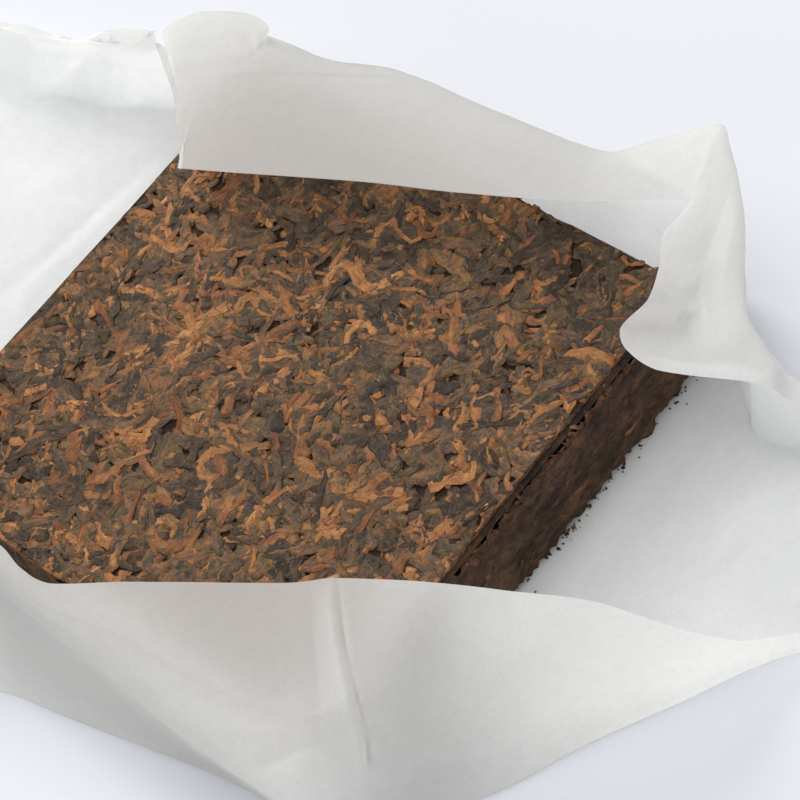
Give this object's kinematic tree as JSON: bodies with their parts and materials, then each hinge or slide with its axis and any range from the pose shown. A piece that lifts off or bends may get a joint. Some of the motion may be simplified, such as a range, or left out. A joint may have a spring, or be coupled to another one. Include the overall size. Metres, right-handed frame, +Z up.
{
  "type": "pu erh tea brick",
  "caption": "Square slab of pressed dark tea leaves lying in its opened thin white wrapping paper, with flaps standing round it.",
  "frame": {"origin": "under the middle of the square slab, on the flat underside of the paper", "axes": "+Z up; X and Y along the slab's sides; the back flap stands on the +X side and the front flap on the -X side"},
  "size_m": [0.1739, 0.2475, 0.0346],
  "materials": {
    "pressed_tea": "matte pressed leaf, dark brown to black with orange-brown buds",
    "wrapping_paper": "thin fibrous off-white paper, slightly see-through"
  },
  "bodies": {
    "root": {"tea_brick": "pressed_tea", "wrapper_paper": "wrapping_paper"}
  },
  "joints": []
}
